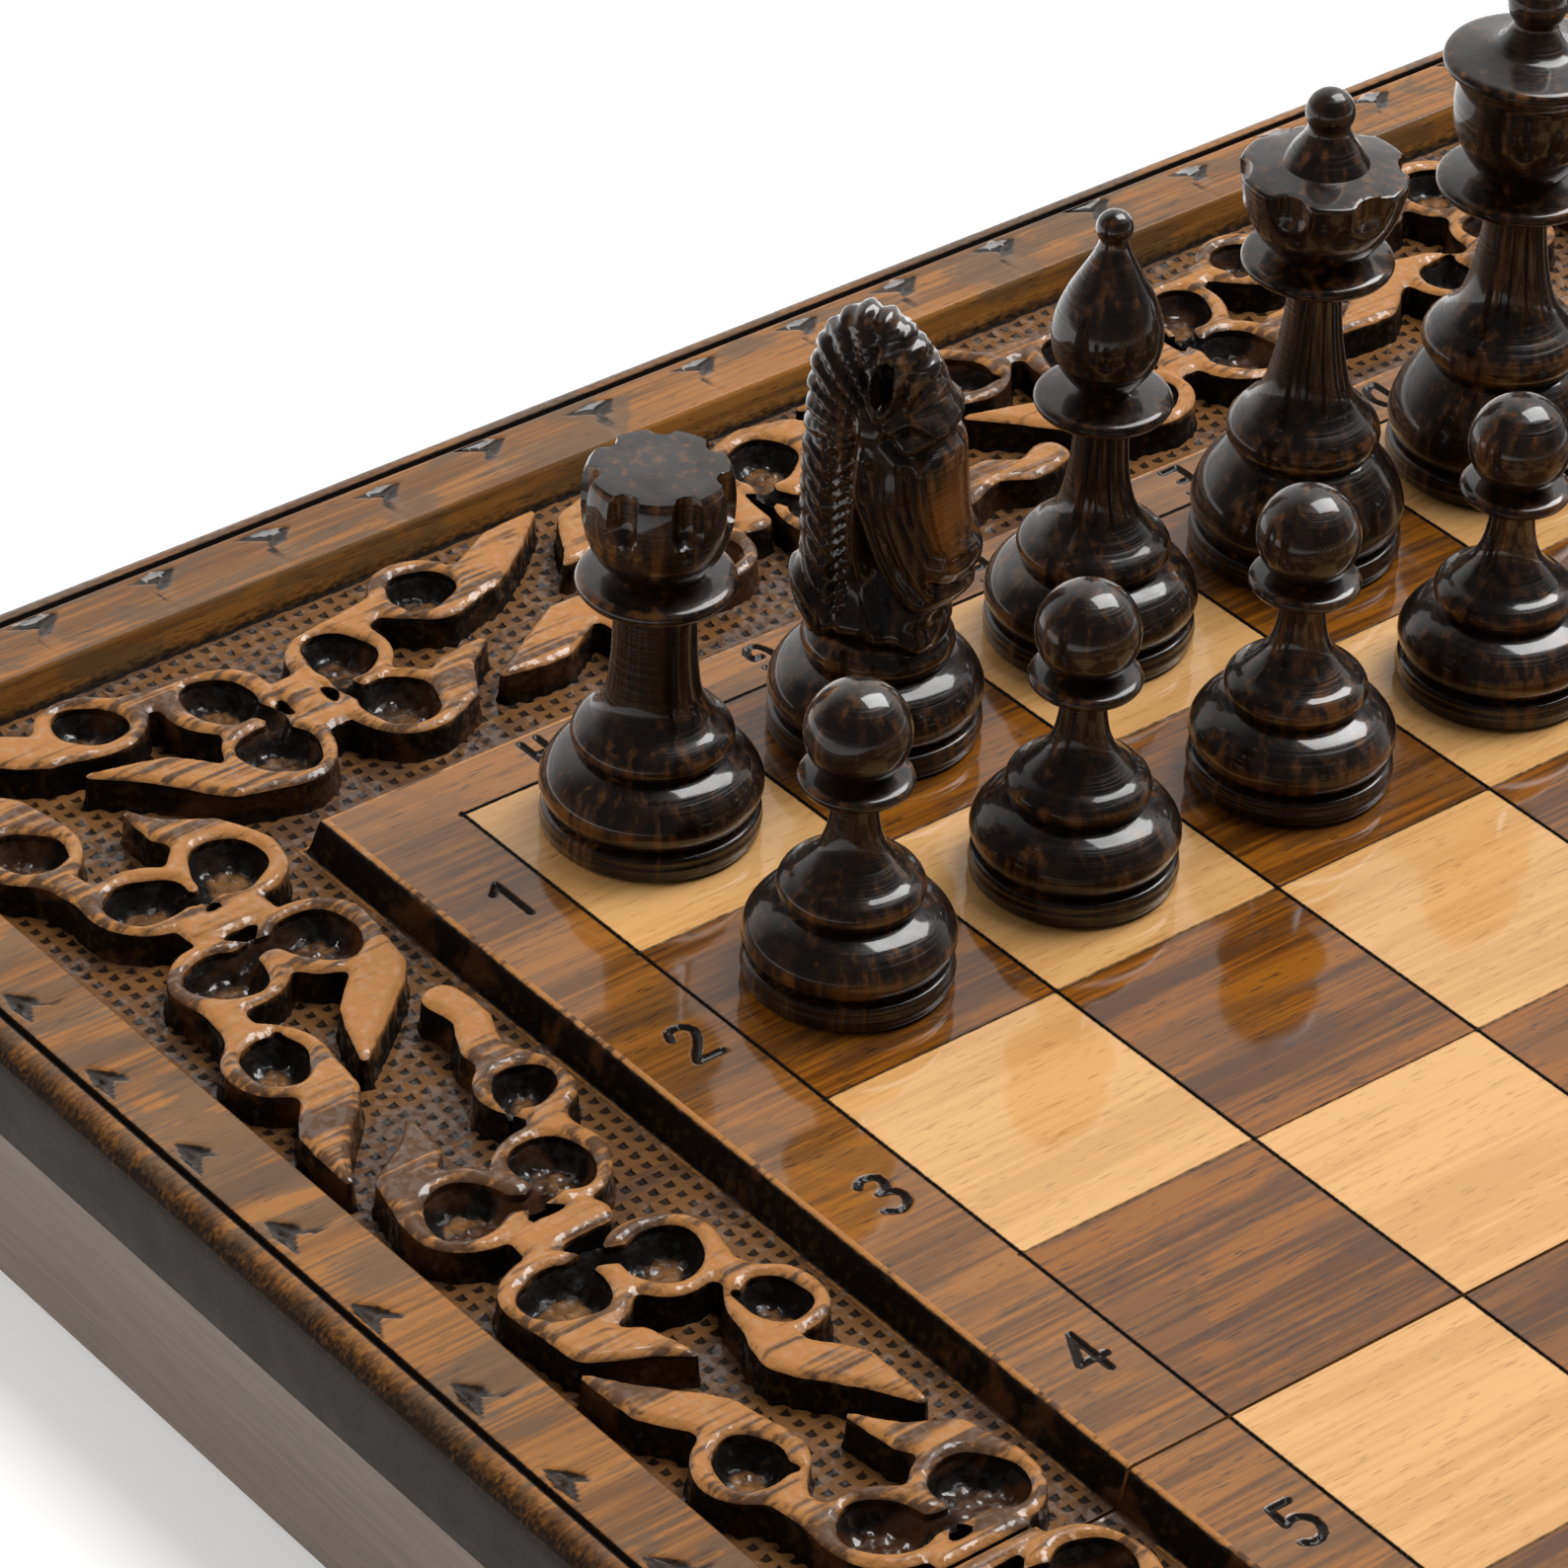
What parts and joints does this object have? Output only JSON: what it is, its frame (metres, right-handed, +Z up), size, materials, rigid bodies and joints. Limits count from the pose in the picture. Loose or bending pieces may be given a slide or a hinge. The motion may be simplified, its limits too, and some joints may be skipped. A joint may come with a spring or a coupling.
{
  "type": "chess set with board",
  "caption": "Folding wooden chess board with a carved scroll border, hinged under the middle, with a full set of turned and carved pieces.",
  "frame": {"origin": "on the table under the middle of the opened board", "axes": "+Z up, +X across the board from rank 1 to rank 8, +Y along the ranks from the H file to the A file; the fold runs along Y at X = 0"},
  "size_m": [0.58, 0.58, 0.1488],
  "materials": {
    "carved_board": "carved oak or ash, stained and burnt, gloss lacquer",
    "wall_wood": "dark stained wood, satin lacquer",
    "dark_piece": "turned wood stained near black, worn reddish, gloss lacquer",
    "light_piece": "turned pale wood, clear gloss lacquer",
    "hinge_brass": "plain rolled brass"
  },
  "bodies": {
    "root": {"dark_side_top_board": "carved_board", "dark_side_end_wall": "wall_wood", "dark_side_h_wall": "wall_wood", "dark_side_a_wall": "wall_wood", "dark_side_seam_wall": "wall_wood", "dark_side_hinge_leaf_h": "hinge_brass", "dark_side_hinge_screw_h_1": "hinge_brass", "dark_side_hinge_screw_h_2": "hinge_brass", "dark_side_hinge_leaf_a": "hinge_brass", "dark_side_hinge_screw_a_1": "hinge_brass", "dark_side_hinge_screw_a_2": "hinge_brass", "hinge_pin_h": "hinge_brass", "hinge_pin_a": "hinge_brass"},
    "light_side": {"light_side_top_board": "carved_board", "light_side_end_wall": "wall_wood", "light_side_h_wall": "wall_wood", "light_side_a_wall": "wall_wood", "light_side_seam_wall": "wall_wood", "light_side_hinge_leaf_h": "hinge_brass", "light_side_hinge_screw_h_1": "hinge_brass", "light_side_hinge_screw_h_2": "hinge_brass", "light_side_hinge_leaf_a": "hinge_brass", "light_side_hinge_screw_a_1": "hinge_brass", "light_side_hinge_screw_a_2": "hinge_brass"},
    "dark_rook_h": {"dark_rook_h": "dark_piece"},
    "dark_pawn_h": {"dark_pawn_h": "dark_piece"},
    "dark_knight_g": {"dark_knight_g": "dark_piece"},
    "dark_pawn_g": {"dark_pawn_g": "dark_piece"},
    "dark_bishop_f": {"dark_bishop_f": "dark_piece"},
    "dark_pawn_f": {"dark_pawn_f": "dark_piece"},
    "dark_queen": {"dark_queen": "dark_piece"},
    "dark_pawn_e": {"dark_pawn_e": "dark_piece"},
    "dark_king": {"dark_king": "dark_piece"},
    "dark_pawn_d": {"dark_pawn_d": "dark_piece"},
    "dark_bishop_c": {"dark_bishop_c": "dark_piece"},
    "dark_pawn_c": {"dark_pawn_c": "dark_piece"},
    "dark_knight_b": {"dark_knight_b": "dark_piece"},
    "dark_pawn_b": {"dark_pawn_b": "dark_piece"},
    "dark_rook_a": {"dark_rook_a": "dark_piece"},
    "dark_pawn_a": {"dark_pawn_a": "dark_piece"},
    "light_rook_h": {"light_rook_h": "light_piece"},
    "light_pawn_h": {"light_pawn_h": "light_piece"},
    "light_knight_g": {"light_knight_g": "light_piece"},
    "light_pawn_g": {"light_pawn_g": "light_piece"},
    "light_bishop_f": {"light_bishop_f": "light_piece"},
    "light_pawn_f": {"light_pawn_f": "light_piece"},
    "light_queen": {"light_queen": "light_piece"},
    "light_pawn_e": {"light_pawn_e": "light_piece"},
    "light_king": {"light_king": "light_piece"},
    "light_pawn_d": {"light_pawn_d": "light_piece"},
    "light_bishop_c": {"light_bishop_c": "light_piece"},
    "light_pawn_c": {"light_pawn_c": "light_piece"},
    "light_knight_b": {"light_knight_b": "light_piece"},
    "light_pawn_b": {"light_pawn_b": "light_piece"},
    "light_rook_a": {"light_rook_a": "light_piece"},
    "light_pawn_a": {"light_pawn_a": "light_piece"}
  },
  "joints": [
    {"name": "board_fold", "type": "hinge", "parent": "root", "child": "light_side", "pos_m": [0, 0, 0.002], "axis": [0, 1, 0], "range_deg": [0, 180]},
    {"name": "dark_rook_h_lift", "type": "slide", "parent": "root", "child": "dark_rook_h", "axis": [0, 0, 1], "range_m": [0, 0.12]},
    {"name": "dark_pawn_h_lift", "type": "slide", "parent": "root", "child": "dark_pawn_h", "axis": [0, 0, 1], "range_m": [0, 0.12]},
    {"name": "dark_knight_g_lift", "type": "slide", "parent": "root", "child": "dark_knight_g", "axis": [0, 0, 1], "range_m": [0, 0.12]},
    {"name": "dark_pawn_g_lift", "type": "slide", "parent": "root", "child": "dark_pawn_g", "axis": [0, 0, 1], "range_m": [0, 0.12]},
    {"name": "dark_bishop_f_lift", "type": "slide", "parent": "root", "child": "dark_bishop_f", "axis": [0, 0, 1], "range_m": [0, 0.12]},
    {"name": "dark_pawn_f_lift", "type": "slide", "parent": "root", "child": "dark_pawn_f", "axis": [0, 0, 1], "range_m": [0, 0.12]},
    {"name": "dark_queen_lift", "type": "slide", "parent": "root", "child": "dark_queen", "axis": [0, 0, 1], "range_m": [0, 0.12]},
    {"name": "dark_pawn_e_lift", "type": "slide", "parent": "root", "child": "dark_pawn_e", "axis": [0, 0, 1], "range_m": [0, 0.12]},
    {"name": "dark_king_lift", "type": "slide", "parent": "root", "child": "dark_king", "axis": [0, 0, 1], "range_m": [0, 0.12]},
    {"name": "dark_pawn_d_lift", "type": "slide", "parent": "root", "child": "dark_pawn_d", "axis": [0, 0, 1], "range_m": [0, 0.12]},
    {"name": "dark_bishop_c_lift", "type": "slide", "parent": "root", "child": "dark_bishop_c", "axis": [0, 0, 1], "range_m": [0, 0.12]},
    {"name": "dark_pawn_c_lift", "type": "slide", "parent": "root", "child": "dark_pawn_c", "axis": [0, 0, 1], "range_m": [0, 0.12]},
    {"name": "dark_knight_b_lift", "type": "slide", "parent": "root", "child": "dark_knight_b", "axis": [0, 0, 1], "range_m": [0, 0.12]},
    {"name": "dark_pawn_b_lift", "type": "slide", "parent": "root", "child": "dark_pawn_b", "axis": [0, 0, 1], "range_m": [0, 0.12]},
    {"name": "dark_rook_a_lift", "type": "slide", "parent": "root", "child": "dark_rook_a", "axis": [0, 0, 1], "range_m": [0, 0.12]},
    {"name": "dark_pawn_a_lift", "type": "slide", "parent": "root", "child": "dark_pawn_a", "axis": [0, 0, 1], "range_m": [0, 0.12]},
    {"name": "light_rook_h_lift", "type": "slide", "parent": "light_side", "child": "light_rook_h", "axis": [0, 0, 1], "range_m": [0, 0.12]},
    {"name": "light_pawn_h_lift", "type": "slide", "parent": "light_side", "child": "light_pawn_h", "axis": [0, 0, 1], "range_m": [0, 0.12]},
    {"name": "light_knight_g_lift", "type": "slide", "parent": "light_side", "child": "light_knight_g", "axis": [0, 0, 1], "range_m": [0, 0.12]},
    {"name": "light_pawn_g_lift", "type": "slide", "parent": "light_side", "child": "light_pawn_g", "axis": [0, 0, 1], "range_m": [0, 0.12]},
    {"name": "light_bishop_f_lift", "type": "slide", "parent": "light_side", "child": "light_bishop_f", "axis": [0, 0, 1], "range_m": [0, 0.12]},
    {"name": "light_pawn_f_lift", "type": "slide", "parent": "light_side", "child": "light_pawn_f", "axis": [0, 0, 1], "range_m": [0, 0.12]},
    {"name": "light_queen_lift", "type": "slide", "parent": "light_side", "child": "light_queen", "axis": [0, 0, 1], "range_m": [0, 0.12]},
    {"name": "light_pawn_e_lift", "type": "slide", "parent": "light_side", "child": "light_pawn_e", "axis": [0, 0, 1], "range_m": [0, 0.12]},
    {"name": "light_king_lift", "type": "slide", "parent": "light_side", "child": "light_king", "axis": [0, 0, 1], "range_m": [0, 0.12]},
    {"name": "light_pawn_d_lift", "type": "slide", "parent": "light_side", "child": "light_pawn_d", "axis": [0, 0, 1], "range_m": [0, 0.12]},
    {"name": "light_bishop_c_lift", "type": "slide", "parent": "light_side", "child": "light_bishop_c", "axis": [0, 0, 1], "range_m": [0, 0.12]},
    {"name": "light_pawn_c_lift", "type": "slide", "parent": "light_side", "child": "light_pawn_c", "axis": [0, 0, 1], "range_m": [0, 0.12]},
    {"name": "light_knight_b_lift", "type": "slide", "parent": "light_side", "child": "light_knight_b", "axis": [0, 0, 1], "range_m": [0, 0.12]},
    {"name": "light_pawn_b_lift", "type": "slide", "parent": "light_side", "child": "light_pawn_b", "axis": [0, 0, 1], "range_m": [0, 0.12]},
    {"name": "light_rook_a_lift", "type": "slide", "parent": "light_side", "child": "light_rook_a", "axis": [0, 0, 1], "range_m": [0, 0.12]},
    {"name": "light_pawn_a_lift", "type": "slide", "parent": "light_side", "child": "light_pawn_a", "axis": [0, 0, 1], "range_m": [0, 0.12]}
  ]
}
